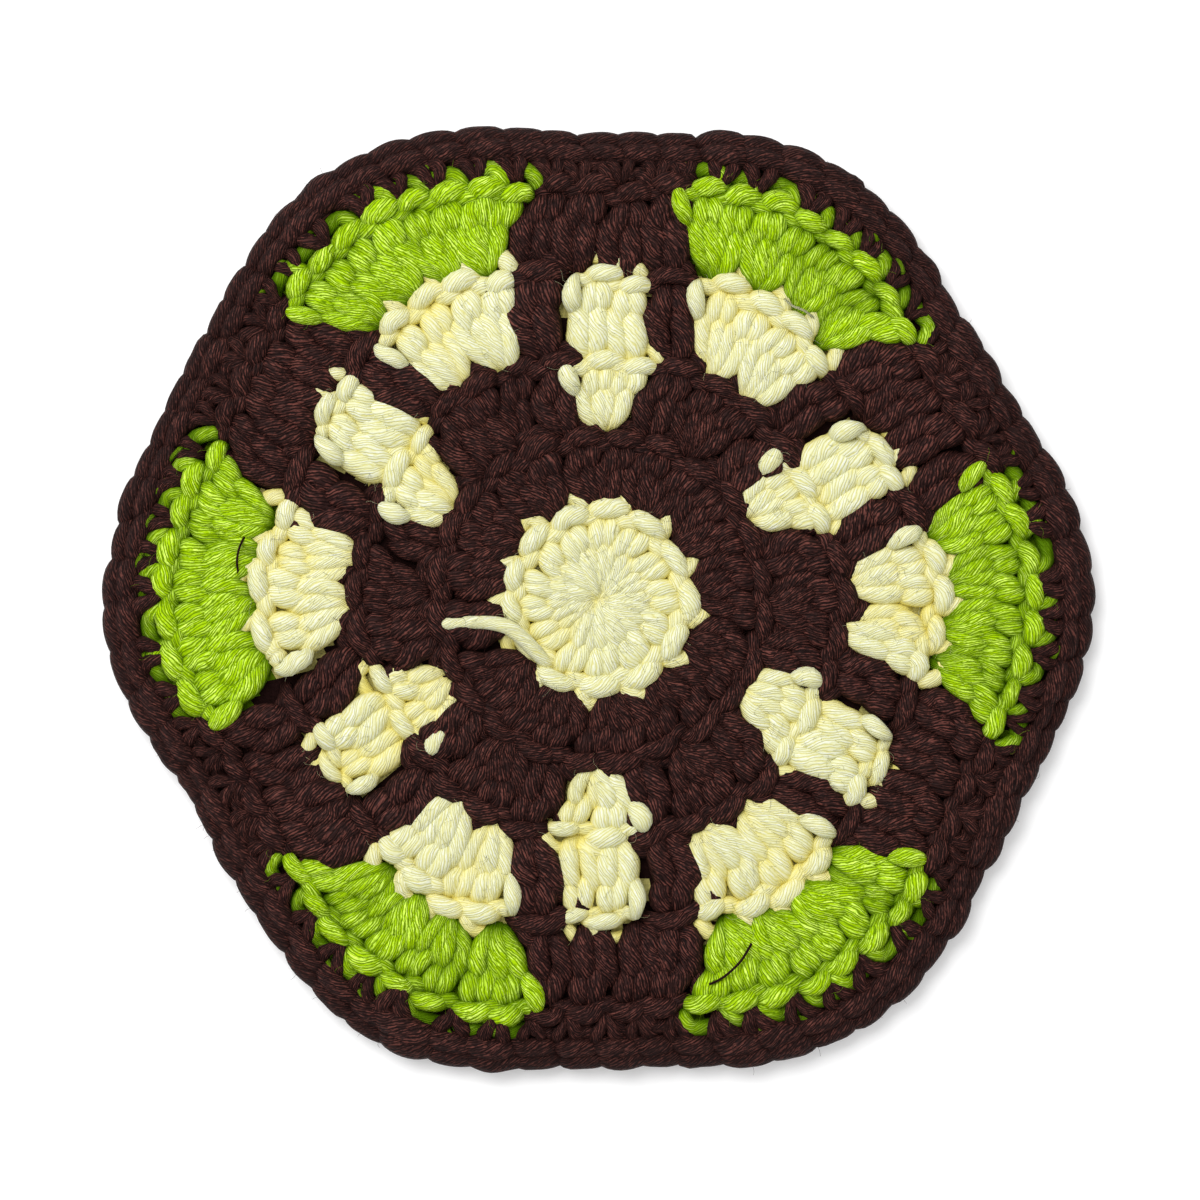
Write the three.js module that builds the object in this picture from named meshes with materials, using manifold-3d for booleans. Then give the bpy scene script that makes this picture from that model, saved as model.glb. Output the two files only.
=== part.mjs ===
// A hexagonal crochet coaster in dark brown, cream and green yarn. It is worked in the round from
// its centre: five rounds of double crochet and an edging of single crochet, 264 stitches in all.
// Lengths are millimetres and angles are degrees. +Z is up, and the mat lies flat on Z = 0.

import * as THREE from "three";
import { mergeVertices } from "three/addons/utils/BufferGeometryUtils.js";
import Module from "manifold-3d";

// The outline is a hexagon with soft corners, each a little different because it is worked by hand.
// Radii are measured from the centre ring, and the flat sides lie between the corners.
const OUTLINE = [
  { angle: -1, radius: 57.2 },
  { angle: 31, radius: 52.9 },
  { angle: 62, radius: 57.2 },
  { angle: 89, radius: 53.9 },
  { angle: 121.5, radius: 58.5 },
  { angle: 153, radius: 54.8 },
  { angle: 181.5, radius: 57.5 },
  { angle: 209.5, radius: 52.6 },
  { angle: 244, radius: 57.4 },
  { angle: 271.5, radius: 54.2 },
  { angle: 302, radius: 58.3 },
  { angle: 333, radius: 54.4 },
];
const MEAN_RADIUS = 55.7;

// The pattern repeats in six sectors. One row for each round, from the centre out:
// radius   where the round ends, on average
// hexagon  how far it follows the outline: 0 is a circle, 1 the outline's own shape
// top      the angle at which the top of the sector's first stitch stands
// base     the angle of the sector's first base, a gap between stitches of the round below
// worked   how many stitches are worked into each of the sector's bases
// chart    the yarn of each stitch: d dark, c cream, g green
const SECTORS = 6;
const ONE_EACH = Array(12).fill(1);
const FOUR_PAIRS = [2, 2, 2, 2, 1, 1, 1, 1];
const ROUNDS = [
  { radius: 11.0, hexagon: 0, top: 15, base: 15, worked: [1, 1], chart: "cc" },
  { radius: 19.5, hexagon: 0, top: 1, base: 15, worked: [2, 2], chart: "dddd" },
  { radius: 28.1, hexagon: 0.5, top: -5, base: 1, worked: [2, 1, 2, 1], chart: "dddccd" },
  { radius: 38.4, hexagon: 1.3, top: -12, base: -5, worked: [2, 2, 1, 1, 1, 1], chart: "ccccdccd" },
  { radius: 49.8, hexagon: 1.1, top: -17, base: -11.5, worked: FOUR_PAIRS, chart: "ggggggggdddd" },
  { radius: 55.7, hexagon: 1, top: 4.5, base: 3, worked: ONE_EACH, chart: "dddddddddddd" },
];
const EDGING = ROUNDS.length - 1;
const CENTRE_RADIUS = 1.2;
const CENTRE_HEIGHT = 3.4;

// The relief of one stitch, a row for each step out along it. The step runs from 0 at the base to 1
// at the top of the round, and the heights are taken at three places across the stitch.
const POST_PLACES = [-1 / 3, 0, 1 / 3];
const POST_RELIEF = [
  { step: 0.06, heights: [2.7, 3.3, 2.7] }, // the foot, down in the groove
  { step: 0.34, heights: [3.0, 4.0, 3.0] }, // the two strands that fan out of the base
  { step: 0.64, heights: [3.3, 4.2, 3.3] }, // the wrap round the post
  { step: 0.79, heights: [3.4, 3.6, 3.5] }, // under the top loop
  { step: 0.91, heights: [4.4, 3.5, 4.5] }, // the top loop, which bridges two posts
  { step: 1.0, heights: [2.9, 3.4, 3.3] }, // the groove, with the back of the loop in it
];
const EDGE_PLACES = [-0.5, -0.17, 0.17];
const EDGE_SCALLOP = [-0.4, 0.15, 0.15]; // how far the rim stands in or out at each of those places
const EDGE_RELIEF = [
  { step: 0.1, heights: [2.8, 3.3, 3.3] }, // the two short legs of a single crochet
  { step: 0.36, heights: [2.9, 3.6, 3.6] },
  { step: 0.66, heights: [3.5, 4.5, 4.5] }, // the fat loop that lies along the rim
  { step: 0.9, heights: [3.2, 3.9, 3.9] },
  { step: 1.0, heights: [2.1, 2.3, 2.3] }, // the widest line of the rim
];
const UNDERSIDE_INSET = 1.0;
const LEAN_END = 0.64; // the step at which a stitch that leans stands over its top

// No two stitches are pulled quite as tight: their heights vary by this much, in uneven waves.
const UNEVENNESS = 0.12;
const WAVE_STEP = 2.4;

// The cream yarn end that was left on the face, beside the centre disc.
const END_DIAMETER = 1.5;
const END_SIDES = 8;
const END_STEPS = 10;
const END_ROUTE = [
  { x: -9.0, y: -3.3, z: 4.1 },
  { x: -11.6, y: -2.9, z: 4.7 },
  { x: -15.7, y: -3.0, z: 4.6 },
  { x: -19.0, y: -3.3, z: 4.4 },
];

const YARNS = {
  d: new THREE.Color(0x331e1c),
  c: new THREE.Color(0xe4e5ac),
  g: new THREE.Color(0x91b413),
};
const YARN_ROUGHNESS = 0.9;
const LOOP_STEP = 0.85; // from this step on, a top loop shows and not the post
const COLOUR_REACH = 0.6 * END_DIAMETER; // how far the loose end's colour reaches from its middle

const FULL_TURN = 360;
const SECTOR_ANGLE = FULL_TURN / SECTORS;
const { lerp, euclideanModulo, degToRad, radToDeg } = THREE.MathUtils;

// The outline's radius at an angle, blended by a cosine between the points of the table.
function outlineRadius(angle) {
  const turned = OUTLINE[0].angle + euclideanModulo(angle - OUTLINE[0].angle, FULL_TURN);
  const closed = [...OUTLINE, { angle: OUTLINE[0].angle + FULL_TURN, radius: OUTLINE[0].radius }];
  const next = closed.findIndex((point) => point.angle > turned);
  const from = closed[next - 1];
  const to = closed[next];
  const share = (turned - from.angle) / (to.angle - from.angle);
  return lerp(from.radius, to.radius, (1 - Math.cos(Math.PI * share)) / 2);
}

// Where a round ends, at an angle. Round -1 is the small ring at the centre.
function roundEnd(index, angle) {
  if (index < 0) {
    return CENTRE_RADIUS;
  }
  const { radius, hexagon } = ROUNDS[index];
  return radius * (outlineRadius(angle) / MEAN_RADIUS) ** hexagon;
}

// One entry for each stitch of a round: the angles of its base and its top, the widths that it has
// there, and its yarn.
function stitchesOf(round) {
  const basePitch = SECTOR_ANGLE / round.worked.length;
  const topPitch = SECTOR_ANGLE / round.chart.length;
  const stitches = [];
  for (let sector = 0; sector < SECTORS; sector++) {
    const turn = sector * SECTOR_ANGLE;
    let number = 0;
    round.worked.forEach((count, base) => {
      for (let i = 0; i < count; i++) {
        stitches.push({
          base: turn + round.base + basePitch * (base + (i + 0.5) / count - 0.5),
          baseWidth: basePitch / count,
          top: turn + round.top + topPitch * number,
          topWidth: topPitch,
          yarn: round.chart[number],
        });
        number++;
      }
    });
  }
  return stitches;
}

const STITCHES = ROUNDS.map(stitchesOf);

// The angle of a place across a stitch. A stitch leans from its base to its top.
function placeAngle(stitch, place, step) {
  const share = Math.min(step / LEAN_END, 1);
  return lerp(stitch.base + place * stitch.baseWidth, stitch.top + place * stitch.topWidth, share);
}

// The rings of points that one round adds, from its base out.
function roundRings(index) {
  const places = index === EDGING ? EDGE_PLACES : POST_PLACES;
  const relief = index === EDGING ? EDGE_RELIEF : POST_RELIEF;
  return relief.map(({ step, heights }) =>
    STITCHES[index].flatMap((stitch, number) =>
      places.map((place, i) => {
        const angle = placeAngle(stitch, place, step);
        const scallop = index === EDGING ? step * EDGE_SCALLOP[i] : 0;
        const radius = lerp(roundEnd(index - 1, angle), roundEnd(index, angle), step) + scallop;
        const height = heights[i] + UNEVENNESS * Math.sin(number * WAVE_STEP + index);
        return { angle, radius, height };
      }),
    ),
  );
}

// The underside is flat, and ends a little inside the rim because the yarn is round.
function undersideRing(rim) {
  return rim.map(({ angle, radius }) => ({ angle, radius: radius - UNDERSIDE_INSET, height: 0 }));
}

// The triangles between two rings that share their columns.
function strip(count, inner, outer) {
  const triangles = [];
  for (let i = 0; i < count; i++) {
    const next = (i + 1) % count;
    triangles.push(inner + i, outer + i, outer + next);
    triangles.push(inner + i, outer + next, inner + next);
  }
  return triangles;
}

// The triangles between two rings whose columns differ. The band steps on whichever ring is behind.
function zip(innerRing, inner, outerRing, outer) {
  const angleAt = (ring, i) => ring[i % ring.length].angle + FULL_TURN * Math.floor(i / ring.length);
  const shift = nearestColumn(outerRing, innerRing[0].angle);
  const turns = Math.round((outerRing[shift].angle - innerRing[0].angle) / FULL_TURN);
  const triangles = [];
  let i = 0;
  let j = 0;
  while (i < innerRing.length || j < outerRing.length) {
    const a = inner + (i % innerRing.length);
    const b = outer + ((j + shift) % outerRing.length);
    const innerNext = angleAt(innerRing, i + 1);
    const outerNext = angleAt(outerRing, j + shift + 1) - FULL_TURN * turns;
    if (j === outerRing.length || (i < innerRing.length && innerNext < outerNext)) {
      i++;
      triangles.push(a, b, inner + (i % innerRing.length));
    } else {
      j++;
      triangles.push(a, b, outer + ((j + shift) % outerRing.length));
    }
  }
  return triangles;
}

// The column of a ring that lies nearest to an angle.
function nearestColumn(ring, angle) {
  const away = ring.map((point) => angleBetween(point.angle, angle));
  return away.indexOf(Math.min(...away));
}

function angleBetween(a, b) {
  const turn = euclideanModulo(a - b, FULL_TURN);
  return Math.min(turn, FULL_TURN - turn);
}

// The mat as one closed surface: a point at the centre of the face, the rings of each round, the
// rim, and the flat underside.
function matSurface() {
  const rounds = ROUNDS.map((_, index) => roundRings(index));
  rounds[EDGING].push(undersideRing(rounds[EDGING].at(-1)));

  const positions = [0, 0, CENTRE_HEIGHT];
  const place = ({ angle, radius, height }) => {
    const a = degToRad(angle);
    positions.push(radius * Math.cos(a), radius * Math.sin(a), height);
  };
  const triangles = [];
  const first = rounds[0][0].length;
  for (let i = 0; i < first; i++) {
    triangles.push(0, 1 + i, 1 + ((i + 1) % first));
  }
  let before = null;
  for (const rings of rounds) {
    rings.forEach((ring, i) => {
      const start = positions.length / 3;
      ring.forEach(place);
      if (i > 0) {
        triangles.push(...strip(ring.length, before.start, start));
      } else if (before) {
        triangles.push(...zip(before.ring, before.start, ring, start));
      }
      before = { ring, start };
    });
  }
  const underside = positions.length / 3;
  positions.push(0, 0, 0);
  const last = before.ring.length;
  for (let i = 0; i < last; i++) {
    triangles.push(underside, before.start + ((i + 1) % last), before.start + i);
  }

  const surface = new THREE.BufferGeometry();
  surface.setAttribute("position", new THREE.Float32BufferAttribute(positions, 3));
  surface.setIndex(triangles);
  return surface;
}

const endRoute = new THREE.CatmullRomCurve3(END_ROUTE.map(({ x, y, z }) => new THREE.Vector3(x, y, z)));

// The loose end: a round tube on a smooth curve.
function yarnEnd() {
  const section = new THREE.Shape();
  section.absarc(0, 0, END_DIAMETER / 2, 0, 2 * Math.PI);
  return new THREE.ExtrudeGeometry(section, {
    extrudePath: endRoute,
    steps: END_STEPS,
    curveSegments: END_SIDES,
  });
}

const endMiddles = endRoute.getPoints(4 * END_STEPS);

function isOnYarnEnd(point) {
  return endMiddles.some((middle) => middle.distanceTo(point) < COLOUR_REACH);
}

const wasm = await Module();
wasm.setup();

function solidOf(geometry) {
  geometry.deleteAttribute("normal");
  geometry.deleteAttribute("uv");
  const merged = mergeVertices(geometry);
  return new wasm.Manifold(
    new wasm.Mesh({
      numProp: 3,
      vertProperties: merged.attributes.position.array,
      triVerts: new Uint32Array(merged.index.array),
    }),
  );
}

// Two solids joined into one geometry, with each triangle free to take its own colour.
function joined(a, b) {
  const { vertProperties, triVerts } = solidOf(a).add(solidOf(b)).getMesh();
  const geometry = new THREE.BufferGeometry();
  geometry.setAttribute("position", new THREE.BufferAttribute(vertProperties, 3));
  geometry.setIndex(new THREE.BufferAttribute(triVerts, 1));
  return geometry.toNonIndexed();
}

// The yarn that shows at a point of the face. A top loop belongs to the stitch after it.
function yarnAt(point) {
  if (isOnYarnEnd(point)) {
    return YARNS.c;
  }
  const angle = radToDeg(Math.atan2(point.y, point.x));
  const radius = Math.hypot(point.x, point.y);
  const reached = ROUNDS.findIndex((_, i) => radius < roundEnd(i, angle));
  const index = reached < 0 ? EDGING : reached;
  const start = roundEnd(index - 1, angle);
  const step = Math.max(0, (radius - start) / (roundEnd(index, angle) - start));
  const place = step > LOOP_STEP && index !== EDGING ? -0.5 : 0;
  const away = STITCHES[index].map((stitch) => angleBetween(placeAngle(stitch, place, step), angle));
  return YARNS[STITCHES[index][away.indexOf(Math.min(...away))].yarn];
}

// Each triangle of the mat takes the colour of the yarn at its middle.
function paint(geometry) {
  const corners = geometry.attributes.position;
  const triangle = new THREE.Triangle();
  const middle = new THREE.Vector3();
  const colours = [];
  for (let i = 0; i < corners.count; i += 3) {
    triangle.setFromAttributeAndIndices(corners, i, i + 1, i + 2).getMidpoint(middle);
    const { r, g, b } = yarnAt(middle);
    colours.push(r, g, b, r, g, b, r, g, b);
  }
  geometry.setAttribute("color", new THREE.Float32BufferAttribute(colours, 3));
}

function makeMat() {
  const geometry = joined(matSurface(), yarnEnd());
  paint(geometry);
  geometry.computeBoundingBox();
  const centre = geometry.boundingBox.getCenter(new THREE.Vector3());
  geometry.translate(-centre.x, -centre.y, 0);
  geometry.computeVertexNormals();
  const yarn = new THREE.MeshStandardMaterial({
    vertexColors: true,
    roughness: YARN_ROUGHNESS,
    metalness: 0,
  });
  const mat = new THREE.Mesh(geometry, yarn);
  mat.name = "mat";
  return mat;
}

const coaster = new THREE.Group();
coaster.name = "crochet_coaster";
coaster.add(makeMat());

export default coaster;
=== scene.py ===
"""A hexagonal crochet coaster in dark brown, cream and green yarn, lying flat and seen from above.

Every stitch is a strand of yarn that follows the path it takes in the real cloth: the loop on top,
the wrap round the post, the two strands that fan out of the base, and the way back underneath.
Lengths are millimetres and angles are degrees until a mesh is made, and metres from there on.
"""

import math
from collections import namedtuple

import bpy
import numpy as np
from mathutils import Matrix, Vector
from mathutils.kdtree import KDTree


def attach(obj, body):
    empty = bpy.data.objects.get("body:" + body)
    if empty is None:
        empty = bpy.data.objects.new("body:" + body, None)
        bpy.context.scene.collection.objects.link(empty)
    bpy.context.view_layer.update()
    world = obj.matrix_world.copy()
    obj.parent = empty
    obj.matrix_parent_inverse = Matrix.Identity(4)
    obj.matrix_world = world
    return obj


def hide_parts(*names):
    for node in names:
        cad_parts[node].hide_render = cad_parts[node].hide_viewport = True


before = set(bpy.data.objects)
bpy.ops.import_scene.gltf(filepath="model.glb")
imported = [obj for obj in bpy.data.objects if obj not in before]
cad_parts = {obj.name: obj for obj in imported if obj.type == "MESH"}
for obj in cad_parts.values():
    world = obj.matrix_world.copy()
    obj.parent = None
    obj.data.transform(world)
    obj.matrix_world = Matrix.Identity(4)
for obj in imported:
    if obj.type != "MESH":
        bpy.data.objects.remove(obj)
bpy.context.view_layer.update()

MM = 0.001
FULL_TURN = 360.0
DARK, CREAM, GREEN = "d", "c", "g"
YARN_NAMES = {DARK: "dark", CREAM: "cream", GREEN: "green"}

# The outline: a hexagon with soft corners, by its radius from the centre ring.

OutlinePoint = namedtuple("OutlinePoint", "angle radius")
OUTLINE = [
    OutlinePoint(-1, 57.2),
    OutlinePoint(31, 52.9),
    OutlinePoint(62, 57.2),
    OutlinePoint(89, 53.9),
    OutlinePoint(121.5, 58.5),
    OutlinePoint(153, 54.8),
    OutlinePoint(181.5, 57.5),
    OutlinePoint(209.5, 52.6),
    OutlinePoint(244, 57.4),
    OutlinePoint(271.5, 54.2),
    OutlinePoint(302, 58.3),
    OutlinePoint(333, 54.4),
]
MEAN_RADIUS = 55.7
CENTRE_RADIUS = 0.25
# How finely the outline is walked to find its box.
OUTLINE_STEPS = 1441

# The chart, with one row for each round, from the centre out:
# radius   where the round ends, on average
# hexagon  how far it follows the outline: 0 is a circle, 1 the outline's own shape
# tops     the angles at which the stitches of one repeat stand, at their tops
# worked   how many stitches are worked beside each stitch of the round below
# shifts   how far ahead of that stitch they start
# yarns    the yarn of each stitch: d dark, c cream, g green

Round = namedtuple("Round", "radius hexagon tops worked shifts yarns")
DISC_TOPS = [15, 44.7, 73, 100, 128, 155.4, 177, 198.7, 230.8, 258.6, 288, 317, 346]
EDGE_FIRST = -14.6
EDGE_PITCH = 5
EDGE_REPEAT = 12
EDGE_TOPS = [EDGE_FIRST + EDGE_PITCH * i for i in range(EDGE_REPEAT)]
EDGE_SHIFTS = [-1.5] * 5 + [0.5] * 3 + [-1] * 4
ROUNDS = [
    Round(10.9, 0, DISC_TOPS, [1], [-7], "c"),
    Round(19.5, 0, [1, 16, 31, 46], [2] * 6 + [1, 1] + [2] * 5, [-8], "d"),
    Round(28.4, 0.5, [-5, 5, 15, 25, 35, 45], [2, 1], [-1.5, -3], "dddccd"),
    Round(
        39.0,
        0.95,
        [-8.9, -2.7, 4.4, 10.6, 23.2, 27.8, 31.6, 44.6],
        [2, 2, 1, 1, 1, 1],
        [-2, -1.6, -2.3, -2, -3, -2.3],
        "ccccdccd",
    ),
    Round(
        49.5,
        0.9,
        [-16.2, -11.7, -6.5, -1.6, 3.4, 8.6, 13.8, 18.4, 23.5, 28.6, 33.6, 38.2],
        [2, 2, 2, 2, 1, 1, 1, 1],
        [-1.6, -1.8, -1.8, -0.6, -4.8, -1.8, 2.0, -3.2],
        "ggggggggdddd",
    ),
    Round(55.7, 1, EDGE_TOPS, [1], EDGE_SHIFTS, "d"),
]
EDGING = len(ROUNDS) - 1

# Hand work drifts: how far the stitches near an angle stand ahead of the even spacing. Inner is
# for the rounds with cream spots, and outer for the round with green and the edging.
Drift = namedtuple("Drift", "angle inner outer")
DRIFTS = [
    Drift(0, 0.6, 0.3),
    Drift(30, -0.2, 0.2),
    Drift(60, 0.7, 0.2),
    Drift(90, 1.1, -0.2),
    Drift(120, -0.1, -0.6),
    Drift(150, -2.5, -1.6),
    Drift(180, -2.1, -2.5),
    Drift(210, 4.3, -0.6),
    Drift(240, 3.0, 1.4),
    Drift(270, 3.1, 2.9),
    Drift(300, 2.5, 3.7),
    Drift(330, 0.9, 2.0),
]
# How much of each drift the rounds take, from the centre out.
DriftShare = namedtuple("DriftShare", "inner outer")
DRIFT_SHARES = [
    DriftShare(0, 0),
    DriftShare(0, 0),
    DriftShare(0.8, 0),
    DriftShare(1, 0),
    DriftShare(0, 1),
    DriftShare(0, 0.8),
]

# A place on the strand's way through one stitch:
# across  from the post's own line, in stitch widths, anticlockwise
# out     0 at the base and 1 at the top of the round
# up      height of the strand's middle
# thick   its radius there, as a share of YARN_RADIUS

Place = namedtuple("Place", "across out up thick")
DOUBLE_CROCHET = [
    Place(-1.00, 0.84, 1.6, 0.70),  # the loop on top: its root, at the post before
    Place(-1.03, 0.90, 2.6, 0.80),
    Place(-0.96, 0.93, 3.3, 0.96),
    Place(-0.80, 0.945, 3.7, 1.14),  # its front leg
    Place(-0.55, 0.945, 3.8, 1.24),
    Place(-0.30, 0.925, 3.6, 1.14),
    Place(-0.11, 0.88, 3.0, 0.94),
    Place(0.02, 0.84, 2.1, 0.74),
    Place(0.12, 0.90, 1.6, 0.70),  # its head, under the next loop
    Place(0.20, 1.00, 1.6, 0.74),
    Place(0.12, 1.07, 2.0, 0.84),  # its back leg
    Place(-0.12, 1.11, 2.5, 0.92),
    Place(-0.42, 1.13, 2.9, 0.98),
    Place(-0.66, 1.13, 3.0, 0.98),
    Place(-0.82, 1.11, 3.3, 0.96),
    Place(-0.94, 1.02, 3.4, 0.98),
    Place(-1.00, 0.92, 2.5, 0.84),
    Place(-1.02, 0.86, 1.5, 0.70),
    Place(-0.90, 0.74, 1.2, 0.75),
    Place(-0.66, 0.58, 1.4, 0.80),
    Place(-0.40, 0.47, 2.3, 0.90),  # the wrap: up one side of the post
    Place(-0.46, 0.55, 3.2, 1.12),
    Place(-0.55, 0.65, 3.5, 1.30),
    Place(-0.62, 0.75, 3.3, 1.22),
    Place(-0.56, 0.83, 2.4, 0.90),  # over it, under the loop on top
    Place(-0.42, 0.83, 2.4, 0.86),
    Place(-0.30, 0.76, 3.1, 1.10),  # and down the other
    Place(-0.17, 0.67, 3.5, 1.28),
    Place(-0.06, 0.56, 3.5, 1.26),
    Place(0.01, 0.45, 3.1, 1.04),
    Place(0.03, 0.36, 2.2, 0.80),
    Place(-0.05, 0.28, 1.4, 0.76),
    Place(0.00, 0.15, 1.0, 0.85),  # down the back into the base
    Place(0.00, 0.03, 1.1, 0.80),
    Place(-0.04, -0.06, 1.6, 0.80),
    Place(-0.12, -0.01, 2.5, 0.96),  # the right strand of the fan
    Place(-0.21, 0.08, 3.1, 1.20),
    Place(-0.28, 0.20, 3.4, 1.38),
    Place(-0.33, 0.34, 3.45, 1.42),
    Place(-0.35, 0.47, 3.3, 1.30),
    Place(-0.33, 0.56, 2.6, 1.00),
    Place(-0.30, 0.62, 1.8, 0.75),
    Place(-0.04, 0.66, 1.6, 0.75),
    Place(0.16, 0.62, 2.4, 0.88),  # the left strand of the fan
    Place(0.21, 0.53, 3.1, 1.16),
    Place(0.23, 0.41, 3.4, 1.34),
    Place(0.22, 0.27, 3.4, 1.36),
    Place(0.19, 0.16, 3.3, 1.30),
    Place(0.14, 0.07, 3.0, 1.16),
    Place(0.09, -0.01, 2.5, 0.96),
    Place(0.04, -0.06, 1.6, 0.80),
    Place(-0.08, 0.05, 1.0, 0.80),  # up the back
    Place(-0.15, 0.28, 1.0, 0.85),
    Place(-0.28, 0.52, 1.0, 0.80),
    Place(-0.40, 0.70, 1.4, 0.76),
    Place(-0.37, 0.79, 2.4, 0.86),  # the short strand at the post's head
    Place(-0.23, 0.84, 3.2, 0.98),
    Place(-0.05, 0.85, 3.4, 1.02),
    Place(0.12, 0.855, 3.2, 0.98),
    Place(0.25, 0.865, 2.3, 0.84),
    Place(0.20, 0.90, 1.4, 0.70),
]
# How many of these places the two legs of its loop take, and how many the first leg alone.
LOOP_PLACES = 18
FRONT_LEG_PLACES = 8
# How many places at the end are left out where a yarn stops.
HEAD_PLACES = 3
SINGLE_CROCHET = [
    Place(-0.64, 0.38, 1.8, 0.78),  # the loop along the rim: its root
    Place(-0.64, 0.50, 2.8, 0.95),
    Place(-0.48, 0.54, 3.1, 1.08),  # its front leg
    Place(-0.15, 0.56, 3.2, 1.14),
    Place(0.15, 0.56, 3.0, 1.10),
    Place(0.40, 0.54, 2.4, 0.95),
    Place(0.58, 0.57, 1.8, 0.82),
    Place(0.64, 0.66, 1.5, 0.78),
    Place(0.54, 0.74, 1.9, 0.92),  # its back leg, outside it
    Place(0.27, 0.775, 2.3, 1.10),
    Place(-0.08, 0.785, 2.4, 1.14),
    Place(-0.38, 0.77, 2.3, 1.08),
    Place(-0.58, 0.70, 2.0, 0.88),
    Place(-0.60, 0.55, 1.2, 0.78),
    Place(-0.35, 0.35, 1.1, 0.78),
    Place(-0.20, 0.10, 1.2, 0.78),  # down the back into the base
    Place(-0.03, -0.16, 2.4, 0.48),
    Place(-0.05, -0.03, 3.6, 0.52),  # the two short legs
    Place(-0.12, 0.14, 3.9, 0.62),
    Place(-0.23, 0.32, 3.6, 0.78),
    Place(-0.18, 0.44, 2.2, 0.72),
    Place(0.14, 0.44, 2.2, 0.72),
    Place(0.23, 0.32, 3.6, 0.78),
    Place(0.12, 0.14, 3.9, 0.62),
    Place(0.05, -0.03, 3.6, 0.52),
    Place(0.03, -0.16, 2.4, 0.48),
    Place(0.10, 0.10, 1.2, 0.78),
    Place(0.25, 0.25, 1.4, 0.80),
]
# Where a light yarn starts, the front leg of its first loop comes up from inside.
YARN_IN = [
    Place(-0.74, 0.62, 1.2, 0.60),
    Place(-0.92, 0.74, 1.4, 0.60),
    Place(-0.94, 0.83, 2.8, 0.74),
    Place(-0.86, 0.86, 3.6, 0.96),
    Place(-0.72, 0.87, 3.9, 1.10),
    Place(-0.52, 0.86, 4.0, 1.14),
    Place(-0.32, 0.83, 3.6, 1.00),
    Place(-0.14, 0.79, 2.8, 0.80),
    Place(0.00, 0.77, 1.8, 0.66),
]
# Where a yarn stops, its last strand hangs beside the post and goes back inside.
YARN_OUT = [
    Place(0.08, 0.84, 3.5, 1.00),
    Place(0.22, 0.85, 3.8, 0.88),
    Place(0.33, 0.865, 3.6, 0.66),
    Place(0.39, 0.86, 4.1, 0.60),
    Place(0.44, 0.79, 4.7, 0.94),
    Place(0.47, 0.69, 4.7, 1.12),
    Place(0.47, 0.59, 4.4, 1.00),
    Place(0.44, 0.51, 3.8, 0.66),
    Place(0.38, 0.45, 2.8, 0.46),
    Place(0.28, 0.40, 1.6, 0.46),
]
# The dark yarn's last strand lies this much lower, between the stitches.
DARK_SINKS = 1.7
# Green yarn shows between the two short legs of a share of the edging stitches.
GLIMPSE = [
    Place(-0.04, 0.28, 2.8, 0.20),
    Place(-0.02, 0.35, 3.6, 0.27),
    Place(0.02, 0.42, 3.7, 0.28),
    Place(0.04, 0.49, 2.8, 0.20),
]
GLIMPSE_SHARE = 0.6

# A strand is thinner in a narrow stitch and thicker in a wide one. Its radius goes with a power of
# the stitch's width over the usual width, which is kept within limits, and lower in the loop.
YARN_RADIUS = 1.05
USUAL_WIDTH = 4.0
WIDTH_POWER = 0.7
WIDTH_LIMITS = (0.5, 1.35)
LOOP_WIDTH_LIMIT = 1.0
# A strand above this height lies on the face, and where it is thinned its top keeps its height.
FACE_UP = 2.4
# The shortest loop on top, and the widest stitch.
LOOP_LENGTH = 4.0
WIDEST = 6.2
# A stitch leans all the way from its base to its top, but in the edging only between these shares.
LEAN_CURVE = 1.3
EDGE_LEAN = (0.36, 0.5)
# How far apart the two stitches of a pair stand at their base, as a share of a stitch's room. They
# come up together, with FAN_START of this distance, and have all of it at FAN_END of their way.
PAIR_SPREAD = 0.95
FAN_START = 0.35
FAN_END = 0.3

# How much hand work varies from stitch to stitch, and how many times less from place to place.
Hand = namedtuple("Hand", "spread evenness")
HAND_ACROSS = Hand(0.05, 2)
HAND_OUT = Hand(0.02, 2)
HAND_UP = Hand(0.12, 3)
HAND_THICK = 0.08
HAND_SEED = 7
random = np.random.default_rng(HAND_SEED)

# A strand is swept as a tube: its sides, the length of its steps, how finely the curve between two
# places is worked out, the length in which its plies wind once round it, and the length of yarn
# that it comes from.
SIDES = 12
STEP = 0.6
DENSE = 10
TWIST_LENGTH = 11.0
YARN_LENGTH = 1000


def periodic_blend(angle, angles, values):
    """Values from a table that goes once round, blended by a cosine between its rows."""
    angles = np.array([*angles, angles[0] + FULL_TURN], float)
    values = np.array([*values, values[0]], float)
    turned = angles[0] + np.mod(np.asarray(angle, float) - angles[0], FULL_TURN)
    after = np.clip(np.searchsorted(angles, turned, side="right"), 1, len(angles) - 1)
    share = (turned - angles[after - 1]) / (angles[after] - angles[after - 1])
    blend = (1 - np.cos(np.pi * share)) / 2
    return values[after - 1] * (1 - blend) + values[after] * blend


def outline_radius(angle):
    """The outline's radius at an angle."""
    return periodic_blend(angle, [row.angle for row in OUTLINE], [row.radius for row in OUTLINE])


def outline_shift():
    """How far the outline is moved so that its box is centred."""
    angles = np.linspace(0, FULL_TURN, OUTLINE_STEPS)
    radii = outline_radius(angles)
    x = radii * np.cos(np.radians(angles))
    y = radii * np.sin(np.radians(angles))
    return -(x.max() + x.min()) / 2, -(y.max() + y.min()) / 2


SHIFT_X, SHIFT_Y = outline_shift()


def on_mat(angle, radius, up):
    """Points from their angles, radii and heights."""
    turn = np.radians(angle)
    return np.column_stack([radius * np.cos(turn) + SHIFT_X, radius * np.sin(turn) + SHIFT_Y, up])


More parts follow.
